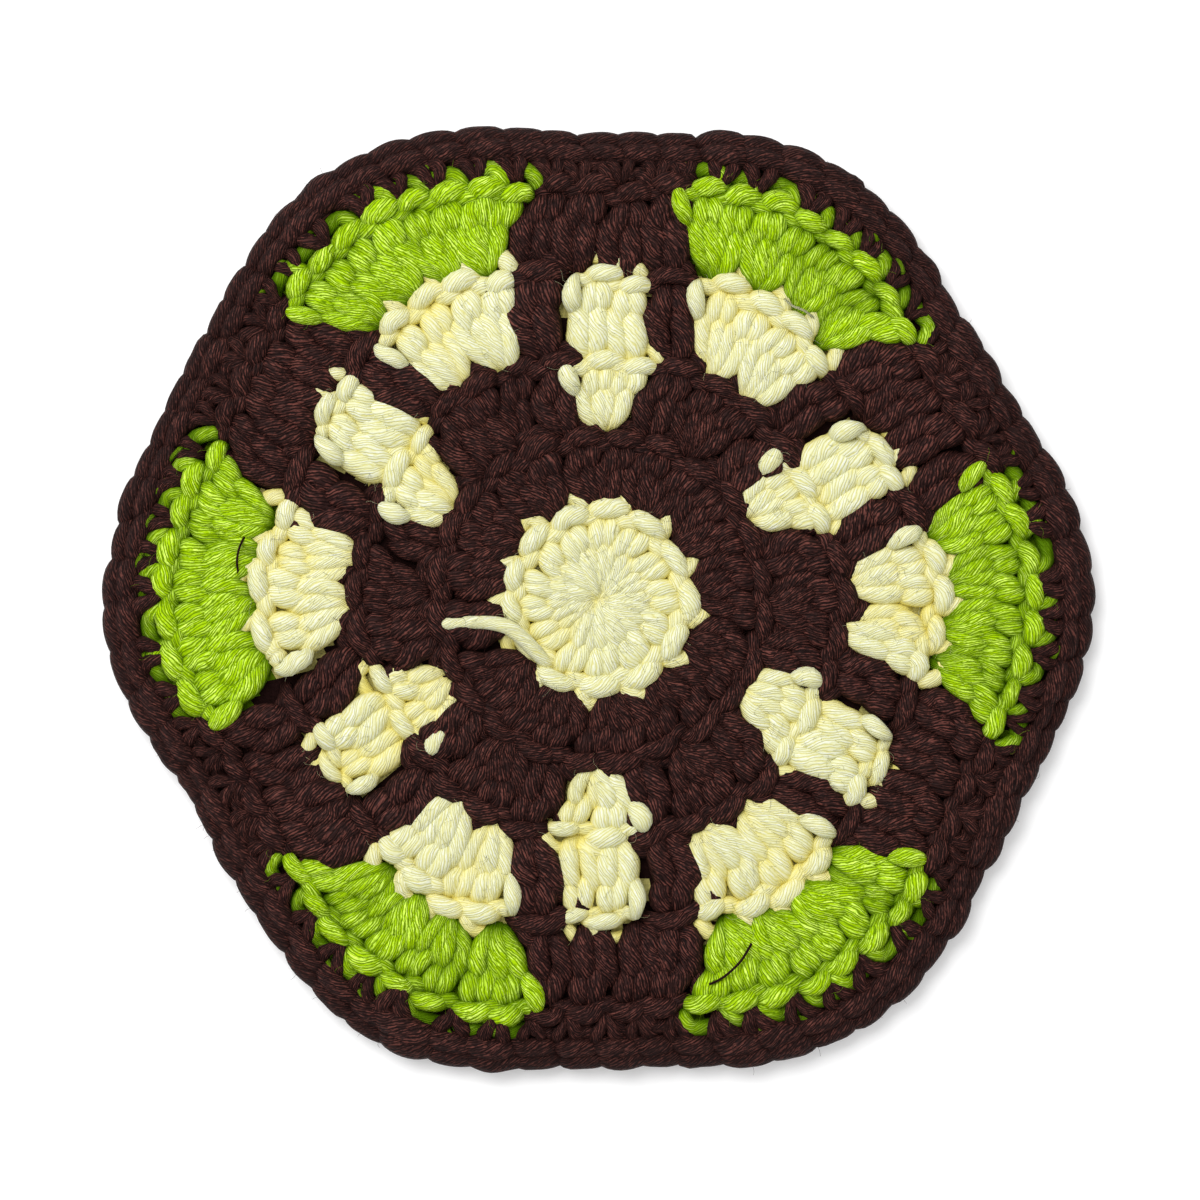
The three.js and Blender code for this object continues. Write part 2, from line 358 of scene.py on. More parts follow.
def round_end(index, angle):
    """Where a round ends, at an angle. Round -1 is the small ring at the centre."""
    if index < 0:
        return np.full_like(np.asarray(angle, float), CENTRE_RADIUS)
    row = ROUNDS[index]
    return row.radius * (outline_radius(angle) / MEAN_RADIUS) ** row.hexagon


def drift_of(index, angle):
    """How far a round's stitches stand ahead of the even spacing, at an angle."""
    share = DRIFT_SHARES[index]
    values = [share.inner * row.inner + share.outer * row.outer for row in DRIFTS]
    return float(periodic_blend(angle, [row.angle for row in DRIFTS], values))


def tops_of(index, count):
    """The angles at which the stitches of a round stand at their tops."""
    row = ROUNDS[index]
    repeats = count // len(row.tops)
    tops = [FULL_TURN / repeats * i + top for i in range(repeats) for top in row.tops]
    return [top + drift_of(index, top) for top in tops]


# A stitch: base and top are angles, spread is how far a pair's stitch stands from the pair's
# middle, and room and width are the angles that the stitch fills at its base and at its top.
Stitch = namedtuple("Stitch", "base spread room top width yarn")


def stitches_of(index, below):
    """The stitches of a round, from the angles at which the round below stands."""
    row = ROUNDS[index]
    bases = [top + row.shifts[i % len(row.shifts)] for i, top in enumerate(below)]
    tops = tops_of(index, len(below) * sum(row.worked) // len(row.worked))
    stitches = []
    for i, base in enumerate(bases):
        count = row.worked[i % len(row.worked)]
        gap = (bases[(i + 1) % len(bases)] - bases[i - 1]) % FULL_TURN / 2
        for j in range(count):
            number = len(stitches)
            spread = ((j + 0.5) / count - 0.5) * PAIR_SPREAD * gap
            width = (tops[number] - tops[number - 1]) % FULL_TURN
            yarn = row.yarns[number % len(row.yarns)]
            stitches.append(Stitch(base, spread, gap / count, tops[number], width, yarn))
    return stitches


def all_stitches():
    """The stitches of all rounds. The disc is worked into the ring, one stitch for each top."""
    rounds = []
    below = DISC_TOPS
    for index in range(len(ROUNDS)):
        rounds.append(stitches_of(index, below))
        below = [stitch.top for stitch in rounds[-1]]
    return rounds


STITCHES = all_stitches()


def lean_at(index, out):
    """How far a stitch still leans toward its base: 1 at the base, 0 at the top."""
    start, end = EDGE_LEAN if index == EDGING else (0, 1)
    return 1 - np.clip((np.asarray(out, float) - start) / (end - start), 0, 1) ** LEAN_CURVE


def fan_at(out):
    """How far a pair has opened: a pair comes out of one place and soon fills its room."""
    return FAN_START + (1 - FAN_START) * np.clip(np.asarray(out, float) / FAN_END, 0, 1)


def place_on_mat(index, stitch, across, out):
    """The angle and radius of places in a stitch, and the width of the stitch there."""
    lean = lean_at(index, out)
    widest = np.degrees(WIDEST / round_end(index, stitch.top))
    done = np.clip(np.asarray(out, float), 0, 1)
    room = min(stitch.room, widest) * (1 - done) + min(stitch.width, widest) * done
    base = stitch.base + stitch.spread * fan_at(out)
    angle = stitch.top + (base - stitch.top) * lean + across * room
    inner = round_end(index - 1, angle)
    radius = inner + (round_end(index, angle) - inner) * out
    return angle, radius, np.radians(room) * radius


def columns_of(rows):
    """The columns of a table as arrays."""
    return [np.array(column, float) for column in zip(*rows)]


def strand_places(index, stitch, starts, ends):
    """The strand's places in one stitch, and how many of them its loop takes on top.

    starts and ends tell whether the yarn comes up or goes down at this stitch.
    """
    if index == EDGING:
        places, loop = SINGLE_CROCHET, 0
    else:
        places, loop = DOUBLE_CROCHET, LOOP_PLACES
    if starts and stitch.yarn != DARK:
        places = YARN_IN + places[FRONT_LEG_PLACES:]
        loop += len(YARN_IN) - FRONT_LEG_PLACES
    if ends:
        sinks = DARK_SINKS if stitch.yarn == DARK else 0
        places = places[:-HEAD_PLACES] + [place._replace(up=place.up - sinks) for place in YARN_OUT]
    return places, loop


def by_hand(values, hand):
    """Values that vary a little, for the whole stitch and from place to place."""
    whole = random.normal(0, hand.spread)
    return values + whole + random.normal(0, hand.spread / hand.evenness, len(values))


def stretched_loop(index, stitch, across, loop):
    """The places across, with the loop on top stretched to LOOP_LENGTH in a narrow stitch."""
    top_width = math.radians(stitch.width) * float(round_end(index, stitch.top))
    stretch = max(1, LOOP_LENGTH / top_width)
    across[:loop] = np.where(across[:loop] < 0, across[:loop] * stretch, across[:loop])
    return across


def strand_radii(thick, width, loop):
    """The strand's radii where the stitch has these widths. Its loop has the first places."""
    limit = np.where(np.arange(len(thick)) < loop, LOOP_WIDTH_LIMIT, WIDTH_LIMITS[1])
    fullness = np.clip(width / USUAL_WIDTH, WIDTH_LIMITS[0], limit) ** WIDTH_POWER
    return thick * YARN_RADIUS * fullness


def stitch_points(index, stitch, starts, ends):
    """The strand's points and radii for one stitch, a little different each time."""
    places, loop = strand_places(index, stitch, starts, ends)
    across, out, up, thick = columns_of(places)
    across = by_hand(stretched_loop(index, stitch, across, loop), HAND_ACROSS)
    out = by_hand(out, HAND_OUT)
    up = by_hand(up, HAND_UP)
    thick = thick * (1 + random.normal(0, HAND_THICK))
    angle, radius, width = place_on_mat(index, stitch, across, out)
    radii = strand_radii(thick, width, loop)
    up = up + np.where(up > FACE_UP, np.maximum(thick * YARN_RADIUS - radii, 0), 0)
    return on_mat(angle, radius, np.maximum(up, radii)), radii


def distances_along(points):
    """How far along a route each of its points lies."""
    return np.concatenate([[0], np.cumsum(np.linalg.norm(np.diff(points, axis=0), axis=1))])


def curve_through(values, steps):
    """A smooth curve through rows of values, with DENSE rows in each step from row to row."""
    slopes = np.diff(values, axis=0) / steps[:, None]
    before, after = steps[:-1, None], steps[1:, None]
    middle = (slopes[:-1] * after + slopes[1:] * before) / (before + after)
    tangents = np.vstack([slopes[:1], middle, slopes[-1:]])
    t = np.linspace(0, 1, DENSE, endpoint=False)[None, :, None]
    h = steps[:, None, None]
    p0, p1 = values[:-1, None, :], values[1:, None, :]
    m0, m1 = tangents[:-1, None, :] * h, tangents[1:, None, :] * h
    curve = (
        (2 * t**3 - 3 * t**2 + 1) * p0
        + (t**3 - 2 * t**2 + t) * m0
        + (3 * t**2 - 2 * t**3) * p1
        + (t**3 - t**2) * m1
    )
    return np.vstack([curve.reshape(-1, values.shape[1]), values[-1:]])


def smooth_route(points, radii):
    """A smooth route through the points, with a point each STEP, its radii and its distances."""
    steps = np.linalg.norm(np.diff(points, axis=0), axis=1) ** 0.5
    dense = curve_through(np.column_stack([points, radii]), steps)
    along = distances_along(dense[:, :3])
    count = max(3, int(round(along[-1] / STEP)) + 1)
    at = np.linspace(0, along[-1], count)
    x, y, up, radii = (np.interp(at, along, column) for column in dense.T)
    return np.column_stack([x, y, np.maximum(up, radii)]), radii, at


def frames_along(route):
    """Two directions across the route at each point, turning no more than the route does."""
    tangents = np.gradient(route, axis=0)
    tangents /= np.linalg.norm(tangents, axis=1)[:, None]
    vectors = [Vector(t) for t in tangents]
    normal = vectors[0].orthogonal().normalized()
    normals = [normal.copy()]
    for last, this in zip(vectors, vectors[1:]):
        normal.rotate(last.rotation_difference(this))
        normals.append(normal.copy())
    normals = np.array(normals)
    return normals, np.cross(tangents, normals)


class Tubes:
    """Gathers tubes for one mesh: corners, faces, and each corner's place on its strand.

    That place is the direction from the strand's middle, turned back as the plies wind, and the
    distance along the strand.
    """

    def __init__(self, sides=SIDES):
        self.sides = sides
        self.corners = []
        self.faces = []
        self.strand = []
        self.count = 0

    def add(self, points, radii):
        """A tube along a smooth route through the points."""
        self.sweep(*smooth_route(points, radii))

    def sweep(self, route, radii, along):
        """A tube along a route, with closed ends."""
        normals, binormals = frames_along(route)
        around = np.linspace(0, 2 * np.pi, self.sides, endpoint=False)
        ring = normals[:, None, :] * np.cos(around)[None, :, None]
        ring = ring + binormals[:, None, :] * np.sin(around)[None, :, None]
        corners = route[:, None, :] + ring * radii[:, None, None]
        ends = np.stack([route[0], route[-1]])
        self.corners.append(np.vstack([corners.reshape(-1, 3), ends]))
        self.add_strand(around, along)
        self.add_faces(len(route))

    def add_strand(self, around, along):
        """Each corner's place on its strand. Every strand starts somewhere else along the yarn."""
        start = random.uniform(0, YARN_LENGTH)
        place = (along + start)[:, None]
        twisted = around[None, :] + place * 2 * np.pi / TWIST_LENGTH
        place = np.broadcast_to(place, twisted.shape)
        strand = np.stack([np.cos(twisted), np.sin(twisted), place], axis=-1)
        ends = np.array([[0, 0, start], [0, 0, start + along[-1]]])
        self.strand.append(np.vstack([strand.reshape(-1, 3), ends]))

    def add_faces(self, rings):
        """The faces between the rings, and a fan at each end."""
        side = np.arange(self.sides)
        following = (side + 1) % self.sides
        row = np.arange(rings - 1)[:, None] * self.sides
        above = row + self.sides
        quads = np.stack([row + side, row + following, above + following, above + side], axis=-1)
        first, last = rings * self.sides, rings * self.sides + 1
        end = (rings - 1) * self.sides
        caps = [(first, b, a) for a, b in zip(side, following)]
        caps += [(last, end + a, end + b) for a, b in zip(side, following)]
        self.faces += (quads.reshape(-1, 4) + self.count).tolist()
        self.faces += (np.array(caps) + self.count).tolist()
        self.count += rings * self.sides + 2

    def make(self, name, yarn, material):
        """One piece with all the tubes."""
        mesh = smooth_mesh(name, np.vstack(self.corners), self.faces)
        strand = mesh.attributes.new("strand", "FLOAT_VECTOR", "POINT")
        strand.data.foreach_set("vector", np.vstack(self.strand).astype(np.float32).ravel())
        mesh.materials.append(material)
        return add_piece(name, mesh)


def smooth_mesh(name, corners, faces):
    """A smooth shaded mesh, from corners in millimetres."""
    mesh = bpy.data.meshes.new(name)
    mesh.from_pydata((corners * MM).tolist(), [], faces)
    mesh.polygons.foreach_set("use_smooth", [True] * len(mesh.polygons))
    return mesh


def add_piece(name, mesh):
    """A piece of the mat."""
    piece = bpy.data.objects.new(name, mesh)
    bpy.context.scene.collection.objects.link(piece)
    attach(piece, "root")
    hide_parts("mat")
    return piece


# The rounds. Each makes a piece for each of its yarns, and surfaces: the tops of its strands above
# this height, with their yarn. The fibres stand on them, and the ground takes its colours from them.

SURFACE_UP = 3.6


def runs_of(stitches):
    """The stitches of a round as runs of one yarn, in the order in which they are worked."""
    first = next((i for i, s in enumerate(stitches) if s.yarn != stitches[i - 1].yarn), 0)
    turned = stitches[first:] + stitches[:first]
    runs = []
    for stitch in turned:
        if runs and runs[-1][-1].yarn == stitch.yarn:
            runs[-1].append(stitch)
        else:
            runs.append([stitch])
    return runs


def run_points(index, run):
    """The points and radii of the strand through a run of stitches."""
    changes = len(run) < len(STITCHES[index])
    parts = []
    for stitch in run:
        starts = changes and stitch is run[0]
        ends = changes and stitch is run[-1]
        parts.append(stitch_points(index, stitch, starts, ends))
    return np.vstack([part[0] for part in parts]), np.concatenate([part[1] for part in parts])


def tops_of_strand(points, radii):
    """The strand's top over each of its points, where that is above SURFACE_UP."""
    top = points + np.column_stack([np.zeros((len(radii), 2)), radii])
    return top[top[:, 2] > SURFACE_UP]


def add_glimpses(tubes):
    """Bits of the green loops that show between the legs of the edging worked on them."""
    across, out, up, thick = columns_of(GLIMPSE)
    for worked_on, stitch in zip(STITCHES[EDGING - 1], STITCHES[EDGING]):
        if worked_on.yarn == GREEN and random.random() < GLIMPSE_SHARE:
            angle, radius, _ = place_on_mat(EDGING, stitch, across, out)
            tubes.add(on_mat(angle, radius, up), thick * YARN_RADIUS)


def make_round(index, materials):
    """The pieces of a round, one for each yarn, and its surfaces."""
    tubes, surfaces = {}, []
    for run in runs_of(STITCHES[index]):
        yarn = run[0].yarn
        points, radii = run_points(index, run)
        tubes.setdefault(yarn, Tubes()).add(points, radii)
        surfaces.append((yarn, tops_of_strand(points, radii)))
    if index == EDGING - 1:
        add_glimpses(tubes[GREEN])
    pieces = []
    for yarn, gathered in tubes.items():
        name = f"round_{index + 1}_{YARN_NAMES[yarn]}"
        pieces.append(gathered.make(name, yarn, materials[yarn]))
    return pieces, surfaces


def make_rounds(materials):
    """The pieces and the surfaces of all rounds."""
    pieces, surfaces = [], []
    for index in range(len(ROUNDS)):
        round_pieces, round_surfaces = make_round(index, materials)
        pieces += round_pieces
        surfaces += round_surfaces
    return pieces, surfaces


# The cream yarn end that was left on the face, beside the centre disc.

EndPoint = namedtuple("EndPoint", "x y up radius")
LOOSE_END = [
    EndPoint(-5.4, -8.3, 2.6, 0.80),
    EndPoint(-6.5, -7.1, 4.0, 0.85),
    EndPoint(-8.9, -4.6, 4.9, 0.88),
    EndPoint(-10.6, -3.3, 5.1, 0.88),
    EndPoint(-12.8, -2.8, 4.9, 0.82),
    EndPoint(-15.7, -2.8, 4.6, 0.76),
    EndPoint(-18.2, -3.0, 4.5, 0.66),
    EndPoint(-19.0, -3.1, 4.5, 0.42),
]


def make_loose_end(material):
    """The yarn end, from the disc out to its tip."""
    x, y, up, radii = columns_of(LOOSE_END)
    tubes = Tubes()
    tubes.add(np.column_stack([x + SHIFT_X, y + SHIFT_Y, up]), radii)
    return tubes.make("loose_end", CREAM, material)


# Stray fibres that stand off the yarn: how many, their size, how much they bend and wave and how
# fast they wave, in radians, how high they rise, and how early they are down again.

FIBRES = {DARK: 4500, CREAM: 900, GREEN: 700}
FIBRE_RADIUS = 0.018
FIBRE_SIDES = 3
FIBRE_POINTS = 6
FIBRE_LENGTHS = (0.8, 2.6)
FIBRE_BEND = 0.9
FIBRE_WAVE = 0.4
FIBRE_WAVES = (3, 9)
FIBRE_LIFTS = (0.1, 0.7)
FIBRE_FALL = 1.1
# A few thin threads lie over the face: (x, y) from the mat's middle. Their ends are tucked in.
THREADS = {
    DARK: [
        [(11.7, -44.7), (14.2, -43.5), (16.3, -41.6), (17.2, -40.2), (17.9, -39.0)],
        [(-40.6, 7.6), (-41.3, 6.0), (-41.6, 4.3), (-41.4, 2.6)],
    ],
    CREAM: [[(21.4, 34.6), (22.3, 33.7), (23.6, 33.2), (25.0, 32.2)]],
    GREEN: [],
}
THREAD_RADIUS = 0.17
THREAD_UP = 5.3
THREAD_TUCK = 1


def fibre_points(start):
    """A fibre that leaves the yarn at a point, bends and comes down again."""
    length = random.uniform(*FIBRE_LENGTHS)
    heading = random.uniform(0, 2 * math.pi)
    bend = random.normal(0, FIBRE_BEND)
    steps = np.linspace(0, 1, FIBRE_POINTS)
    turns = heading + bend * steps + FIBRE_WAVE * np.sin(steps * random.uniform(*FIBRE_WAVES))
    ahead = np.column_stack([np.cos(turns), np.sin(turns)]) * length / FIBRE_POINTS
    lift = random.uniform(*FIBRE_LIFTS) * np.sin(np.pi * np.clip(steps * FIBRE_FALL, 0, 1))
    return np.column_stack([start[:2] + np.cumsum(ahead, axis=0), start[2] + lift])


def thread_points(thread):
    """A thread over the face, with its ends tucked in."""
    points = np.array([(x, y, THREAD_UP) for x, y in thread])
    points[[0, -1], 2] -= THREAD_TUCK
    return points


def make_fibres(surfaces, materials):
    """The fibres and threads of each yarn as one piece."""
    pieces = []
    for yarn, count in FIBRES.items():
        places = np.vstack([points for found, points in surfaces if found == yarn])
        tubes = Tubes(FIBRE_SIDES)
        for start in places[random.integers(0, len(places), count)]:
            points = fibre_points(start)
            tubes.sweep(points, np.full(FIBRE_POINTS, FIBRE_RADIUS), distances_along(points))
        for thread in THREADS[yarn]:
            tubes.add(thread_points(thread), np.full(len(thread), THREAD_RADIUS))
        pieces.append(tubes.make(f"fibres_{YARN_NAMES[yarn]}", yarn, materials[yarn]))
    return pieces


# The strands packed inside the stitches are one thin closed sheet that follows the outline. Its
# face and its back wave a little: how much a wave turns from ring to ring, in radians, and how
# many waves there are round the mat.

GROUND_TOP = 2.7
GROUND_BOTTOM = 1.4
GROUND_INSET = 2.4
GROUND_RINGS = 40
GROUND_COLUMNS = 180
GROUND_WAVE_HEIGHT = 0.12
GroundWave = namedtuple("GroundWave", "turn_per_ring around")
GROUND_WAVES = [GroundWave(1.9, 31), GroundWave(0.7, -17)]
# It takes the yarn of the strands that lie over it, up to this far from them, and dark past that.
GROUND_REACH = 1.3


def ground_ring(ring, height):
    """The corners of one ring of the ground's face or back."""
    angles = np.linspace(0, FULL_TURN, GROUND_COLUMNS, endpoint=False)
    radius = (outline_radius(angles) - GROUND_INSET) * ring / GROUND_RINGS
    turn = np.radians(angles)
    waves = [np.sin(ring * wave.turn_per_ring + turn * wave.around) for wave in GROUND_WAVES]
    return on_mat(angles, radius, height + GROUND_WAVE_HEIGHT * sum(waves))


def ground_corners():
    """The corners: the face from its middle out to the rim, and the back from the rim inward."""
    outward = range(1, GROUND_RINGS + 1)
    corners = [on_mat(0.0, 0.0, GROUND_TOP)]
    corners += [ground_ring(ring, GROUND_TOP) for ring in outward]
    corners += [ground_ring(ring, GROUND_BOTTOM) for ring in reversed(outward)]
    corners.append(on_mat(0.0, 0.0, GROUND_BOTTOM))
    return np.vstack(corners)


def ground_faces():
    """The faces from ring to ring, with a fan at the middle of the face and of the back."""
    rings = 2 * GROUND_RINGS
    last = 1 + rings * GROUND_COLUMNS
    columns = [(i, (i + 1) % GROUND_COLUMNS) for i in range(GROUND_COLUMNS)]
    faces = [(0, 1 + i, 1 + j) for i, j in columns]
    for ring in range(rings - 1):
        here = 1 + ring * GROUND_COLUMNS
        there = here + GROUND_COLUMNS
        faces += [(here + i, there + i, there + j, here + j) for i, j in columns]
    here = last - GROUND_COLUMNS
    faces += [(here + i, last, here + j) for i, j in columns]
    return faces


def yarn_finder(surfaces):
    """Looks up the yarn of the strand that lies over a place, or dark yarn beside them."""
    yarns = [yarn for yarn, points in surfaces for _ in points]
    tree = KDTree(len(yarns))
    for i, point in enumerate(point for _, points in surfaces for point in points):
        tree.insert((point[0], point[1], 0), i)
    tree.balance()

    def yarn_at(x, y):
        _, found, distance = tree.find((x, y, 0))
        return yarns[found] if distance < GROUND_REACH else DARK

    return yarn_at


def make_ground(materials, surfaces):
    """The ground, coloured like the strands over it."""
    mesh = smooth_mesh("ground", ground_corners(), ground_faces())
    order = list(YARN_NAMES)
    for yarn in order:
        mesh.materials.append(materials[yarn])
    yarn_at = yarn_finder(surfaces)
    for polygon in mesh.polygons:
        yarn = yarn_at(polygon.center.x / MM, polygon.center.y / MM)
        polygon.material_index = order.index(yarn)
    ground = add_piece("ground", mesh)


# Materials


def srgb(r, g, b):
    """A colour as it is seen, turned into the linear numbers that Blender mixes."""
    linear = [((c + 0.055) / 1.055) ** 2.4 if c > 0.04045 else c / 12.92 for c in (r, g, b)]
    return (*linear, 1.0)


# A yarn's colours and its surface:
# body     the plies
# groove   painted shade in the lines between the plies, which duller streaks take too
# light    painted highlight: glints on the plies' tops and on fibres that catch the light
# deep     painted shade low in the cloth, between the strands
# deepens  how far that painted shade takes over there
# fleck    how fast the fibres and their painted highlights change along the strand: more is shorter
# bump     how high the plies stand
# gloss    how much the surface reflects

YarnLook = namedtuple("YarnLook", "body groove light deep deepens fleck bump gloss")
# The groove and deep colours are painted shade, and the light colour is a painted highlight.
LOOKS = {
    DARK: YarnLook(
        body=srgb(0.165, 0.088, 0.080),
        groove=srgb(0.065, 0.02, 0.018),
        light=srgb(0.42, 0.24, 0.21),
        deep=srgb(0.09, 0.035, 0.03),
        deepens=0.5,
        fleck=0.8,
        bump=0.15,
        gloss=0.08,
    ),
    CREAM: YarnLook(
        body=srgb(0.855, 0.86, 0.695),
        groove=srgb(0.80, 0.78, 0.50),
        light=srgb(0.885, 0.895, 0.83),
        deep=srgb(0.89, 0.84, 0.46),
        deepens=1.3,
        fleck=0.3,
        bump=0.10,
        gloss=0.08,
    ),
    GREEN: YarnLook(
        body=srgb(0.63, 0.785, 0.0),
        groove=srgb(0.36, 0.49, 0.0),
        light=srgb(0.87, 0.99, 0.44),
        deep=srgb(0.30, 0.43, 0.0),
        deepens=1.4,
        fleck=0.3,
        bump=0.15,
        gloss=0.05,
    ),
}
YARN_ROUGHNESS = 0.6
PLIES = 22
# How far the lines between the plies wander round the strand, in radians.
PLY_WANDER = 0.9

# Noise on a strand: how fast it changes around and along the strand, and the noise's own settings.
# The fibres take how fast they change along the strand from each yarn's fleck.
StrandNoise = namedtuple("StrandNoise", "around along scale detail roughness")
WANDER_NOISE = StrandNoise(1.0, 0.35, 1.5, 3.0, 0.5)
STREAK_NOISE = StrandNoise(1.5, 0.3, 2.0, 1.0, 0.5)
FIBRE_NOISE = StrandNoise(3.4, None, 2.0, 1.0, 0.6)

# How much of the bump comes from each of these.
BumpShares = namedtuple("BumpShares", "ply fibre streak")
BUMP_SHARES = BumpShares(0.6, 0.6, 0.4)

# A ramp gives one value below its low end and another above its high end.
Ramp = namedtuple("Ramp", "low high at_low at_high", defaults=[0.0, 1.0])
# The first ramp fades the painted shade in the lines between the plies into the body. The SHINES
# ramps make the mask of the painted highlights.
GROOVE_SHADE_TO_PLY = Ramp(0.05, 0.8)
STREAK_DULLS = Ramp(0.3, 0.5, 0.4, 0.0)
PLY_SHINES = Ramp(0.3, 0.9)
FIBRE_SHINES = Ramp(0.47, 0.62)
STREAK_SHINES = Ramp(0.35, 0.6, 0.45, 1.0)

# Painted shade low between the strands: it starts below the first height and is full at the
# second. The underside has none of it.
CREASE_SHADE_FROM = 4.75
CREASE_SHADE_TO = 3.3
UNDERSIDE = Ramp(1.6 * MM, 2.4 * MM)

# The strands inside, with painted shade: darker than the yarns' own colours.
GROUND_LOOKS = {
    DARK: srgb(0.13, 0.065, 0.06),
    CREAM: srgb(0.84, 0.80, 0.48),
    GREEN: srgb(0.34, 0.46, 0.0),
}
# Between the loose fibres the painted shade is darker still: the colour times this.
GROUND_DARKENS = 0.5
GROUND_NOISE = (2600.0, 4.0, 0.65)
GROUND_FIBRES = Ramp(0.3, 0.7)
GROUND_BUMP = 0.3
GROUND_ROUGHNESS = 0.9
GROUND_GLOSS = 0.05


class Nodes:
    """Short calls for building a material's nodes."""

    def __init__(self, name):
        self.material = bpy.data.materials.new(name)
        self.material.use_nodes = True
        self.tree = self.material.node_tree
        self.tree.nodes.clear()

    def node(self, kind, **settings):
        made = self.tree.nodes.new(kind)
        for name, value in settings.items():
            setattr(made, name, value)
        return made

    def feed(self, socket, value):
        if isinstance(value, bpy.types.NodeSocket):
            self.tree.links.new(value, socket)
        else:
            socket.default_value = value

    def math(self, operation, *values):
        made = self.node("ShaderNodeMath", operation=operation)
        for socket, value in zip(made.inputs, values):
            self.feed(socket, value)
        return made.outputs[0]

    def scaled(self, value, factor):
        return self.math("MULTIPLY", value, factor)

    def vector(self, x, y, z):
        made = self.node("ShaderNodeCombineXYZ")
        for socket, value in zip(made.inputs, (x, y, z)):
            self.feed(socket, value)
        return made.outputs[0]

    def split(self, vector):
        made = self.node("ShaderNodeSeparateXYZ")
        self.feed(made.inputs[0], vector)
        return made.outputs

    def noise(self, vector, scale, detail, roughness):
        made = self.node("ShaderNodeTexNoise")
        self.feed(made.inputs["Vector"], vector)
        made.inputs["Scale"].default_value = scale
        made.inputs["Detail"].default_value = detail
        made.inputs["Roughness"].default_value = roughness
        return made.outputs["Fac"]

    def mix(self, factor, a, b):
        made = self.node("ShaderNodeMix", data_type="RGBA")
        self.feed(made.inputs["Factor"], factor)
        self.feed(made.inputs[6], a)
        self.feed(made.inputs[7], b)
        return made.outputs[2]

    def ramp(self, value, ramp):
        made = self.node("ShaderNodeMapRange")
        made.clamp = True
        self.feed(made.inputs["Value"], value)
        made.inputs["From Min"].default_value = ramp.low
        made.inputs["From Max"].default_value = ramp.high
        made.inputs["To Min"].default_value = ramp.at_low
        made.inputs["To Max"].default_value = ramp.at_high
        return made.outputs["Result"]

    def object_place(self):
        return self.node("ShaderNodeTexCoord").outputs["Object"]

    def shader(self, roughness):
        """The material's shader, with this roughness."""
        shader = self.node("ShaderNodeBsdfPrincipled")
        shader.inputs["Roughness"].default_value = roughness
        out = self.node("ShaderNodeOutputMaterial")
        self.feed(out.inputs[0], shader.outputs[0])
        return shader

    def cloth(self, colour, height, bump, roughness, gloss):
        """A dull shader with a colour, and a bump that is so many millimetres high."""
        raised = self.node("ShaderNodeBump")
        raised.inputs["Strength"].default_value = 1.0
        raised.inputs["Distance"].default_value = bump * MM
        self.feed(raised.inputs["Height"], height)
        shader = self.shader(roughness)
        shader.inputs["Specular IOR Level"].default_value = gloss
        self.feed(shader.inputs["Base Color"], colour)
        self.feed(shader.inputs["Normal"], raised.outputs[0])


def strand_noise(n, strand, noise):
    """Noise that runs along the fibres of a strand."""
    x, y, along = strand
    place = n.vector(
        n.scaled(x, noise.around),
        n.scaled(y, noise.around),
        n.scaled(along, noise.along),
    )
    return n.noise(place, noise.scale, noise.detail, noise.roughness)


def ply_pattern(n, strand):
    """The plies that wind round a strand: 0 in the lines between them, 1 on their tops."""
    x, y, _ = strand
    wander = n.math("SUBTRACT", strand_noise(n, strand, WANDER_NOISE), 0.5)
    angle = n.math("ADD", n.math("ARCTAN2", y, x), n.scaled(wander, PLY_WANDER))
    return n.math("ABSOLUTE", n.math("SINE", n.scaled(angle, PLIES / 2)))


def yarn_height(n, ply, fibre, streak):
    """How high the yarn's surface stands, for its bump."""
    shares = BUMP_SHARES
    height = n.math("ADD", n.scaled(ply, shares.ply), n.scaled(fibre, shares.fibre))
    return n.math("ADD", height, n.scaled(streak, shares.streak))


def crease_shade_amount(n, deepens):
    """How far the painted shade between the strands takes over: 0 on their tops, up to its share low
    down.
    """
    height = n.split(n.object_place())[2]
    deep = n.ramp(height, Ramp(CREASE_SHADE_TO * MM, CREASE_SHADE_FROM * MM, deepens, 0.0))
    return n.math("MULTIPLY", deep, n.ramp(height, UNDERSIDE))


def yarn_colour(n, look, ply, fibre, streak):
    """The yarn's colour: painted shade between the plies, duller streaks, painted highlights on
    plies and fibres, and painted shade low down.
    """
    # Painted shade in the lines between the plies.
    colour = n.mix(n.ramp(ply, GROOVE_SHADE_TO_PLY), look.groove, look.body)
    # Duller streaks at random take some of that shaded colour.
    colour = n.mix(n.ramp(streak, STREAK_DULLS), colour, look.groove)
    # Painted highlights on the plies' tops and on the fibres, where the streaks allow.
    painted_highlight = n.math("MULTIPLY", n.ramp(ply, PLY_SHINES), n.ramp(fibre, FIBRE_SHINES))
    painted_highlight = n.math("MULTIPLY", painted_highlight, n.ramp(streak, STREAK_SHINES))
    colour = n.mix(painted_highlight, colour, look.light)
    # Painted shade low between the strands.
    return n.mix(crease_shade_amount(n, look.deepens), colour, look.deep)


def yarn_material(name, look):
    """Soft plied cotton: plies that wind round the strand, and fibres along them."""
    n = Nodes(name)
    strand = n.split(n.node("ShaderNodeAttribute", attribute_name="strand").outputs["Vector"])
    ply = ply_pattern(n, strand)
    streak = strand_noise(n, strand, STREAK_NOISE)
    fibre = strand_noise(n, strand, FIBRE_NOISE._replace(along=look.fleck))
    colour = yarn_colour(n, look, ply, fibre, streak)
    n.cloth(colour, yarn_height(n, ply, fibre, streak), look.bump, YARN_ROUGHNESS, look.gloss)
    return n.material


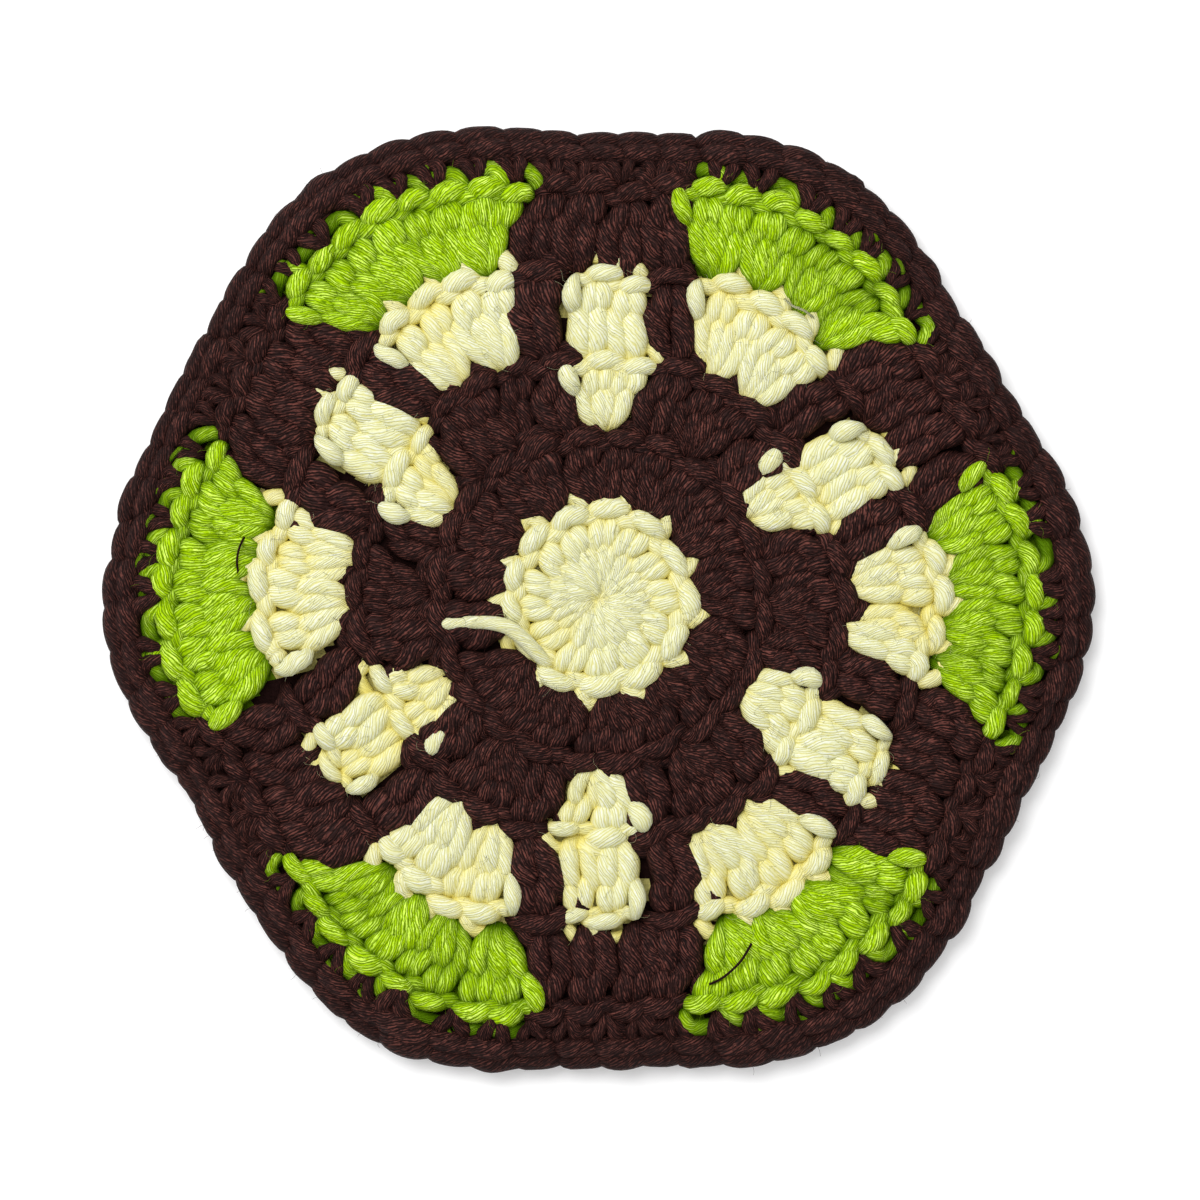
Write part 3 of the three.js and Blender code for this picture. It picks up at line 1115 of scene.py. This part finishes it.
def ground_material(name, colour):
    """The inner strands: their colour in painted shade, with loose fibres across it and more painted
    shade between them.
    """
    n = Nodes(name)
    fibre = n.noise(n.object_place(), *GROUND_NOISE)
    shade = (*(GROUND_DARKENS * c for c in colour[:3]), 1.0)
    mixed = n.mix(n.ramp(fibre, GROUND_FIBRES), shade, colour)
    n.cloth(mixed, fibre, GROUND_BUMP, GROUND_ROUGHNESS, GROUND_GLOSS)
    return n.material


def make_materials():
    """The materials of the yarns, and those of the ground under each yarn."""
    yarns = {}
    for yarn, look in LOOKS.items():
        yarns[yarn] = yarn_material(YARN_NAMES[yarn] + "_yarn", look)
    grounds = {}
    for yarn, colour in GROUND_LOOKS.items():
        grounds[yarn] = ground_material("ground_" + YARN_NAMES[yarn], colour)
    return yarns, grounds


# Camera, floor and light. The camera looks straight down on a view that is PHOTO_WIDTH wide.

PHOTO_WIDTH = 138.97
PHOTO_MIDDLE = (0.17, -0.06)
CAMERA_HEIGHT = 700.0
CAMERA_CLIP = 10.0
SENSOR = 36.0
WHITE = (1, 1, 1, 1)
FLOOR_HALF = 1500.0
FLOOR_COLOUR = (0.93, 0.93, 0.93, 1)
FLOOR_GLOW = 0.12
FLOOR_ROUGHNESS = 0.9
ROOM_LIGHT = 0.78
SOFTBOX_PLACE = (-350.0, 450.0, 700.0)
SOFTBOX_SIZE = 700.0
SOFTBOX_WATTS = 7.2


def place_in_scene(name, data, place):
    """An object at a place in millimetres."""
    made = bpy.data.objects.new(name, data)
    made.location = [value * MM for value in place]
    bpy.context.scene.collection.objects.link(made)
    return made


def make_camera():
    """Straight above, at the photo's scale."""
    data = bpy.data.cameras.new("camera")
    data.sensor_width = SENSOR
    data.lens = SENSOR * CAMERA_HEIGHT / PHOTO_WIDTH
    data.clip_start = CAMERA_CLIP * MM
    bpy.context.scene.camera = place_in_scene("camera", data, (*PHOTO_MIDDLE, CAMERA_HEIGHT))


def make_floor():
    """A plain white floor."""
    half = FLOOR_HALF * MM
    corners = [(-half, -half, 0), (half, -half, 0), (half, half, 0), (-half, half, 0)]
    mesh = bpy.data.meshes.new("floor")
    mesh.from_pydata(corners, [], [(0, 1, 2, 3)])
    n = Nodes("floor")
    shader = n.shader(FLOOR_ROUGHNESS)
    shader.inputs["Base Color"].default_value = FLOOR_COLOUR
    shader.inputs["Emission Color"].default_value = WHITE
    shader.inputs["Emission Strength"].default_value = FLOOR_GLOW
    mesh.materials.append(n.material)
    place_in_scene("floor", mesh, (0, 0, 0))


def make_light():
    """Even light from all round, and a softbox behind the coaster on the left."""
    world = bpy.data.worlds.new("studio")
    world.use_nodes = True
    background = world.node_tree.nodes["Background"]
    background.inputs["Color"].default_value = WHITE
    background.inputs["Strength"].default_value = ROOM_LIGHT
    bpy.context.scene.world = world
    data = bpy.data.lights.new("softbox", "AREA")
    data.size = SOFTBOX_SIZE * MM
    data.energy = SOFTBOX_WATTS
    light = place_in_scene("softbox", data, SOFTBOX_PLACE)
    light.rotation_euler = (-light.location).to_track_quat("-Z", "Y").to_euler()
    bpy.context.scene.view_settings.view_transform = "Standard"


def make_coaster():
    """All the pieces of the coaster."""
    yarns, grounds = make_materials()
    pieces, surfaces = make_rounds(yarns)
    pieces.append(make_loose_end(yarns[CREAM]))
    pieces += make_fibres(surfaces, yarns)
    make_ground(grounds, surfaces)


make_camera()
make_floor()
make_light()
make_coaster()
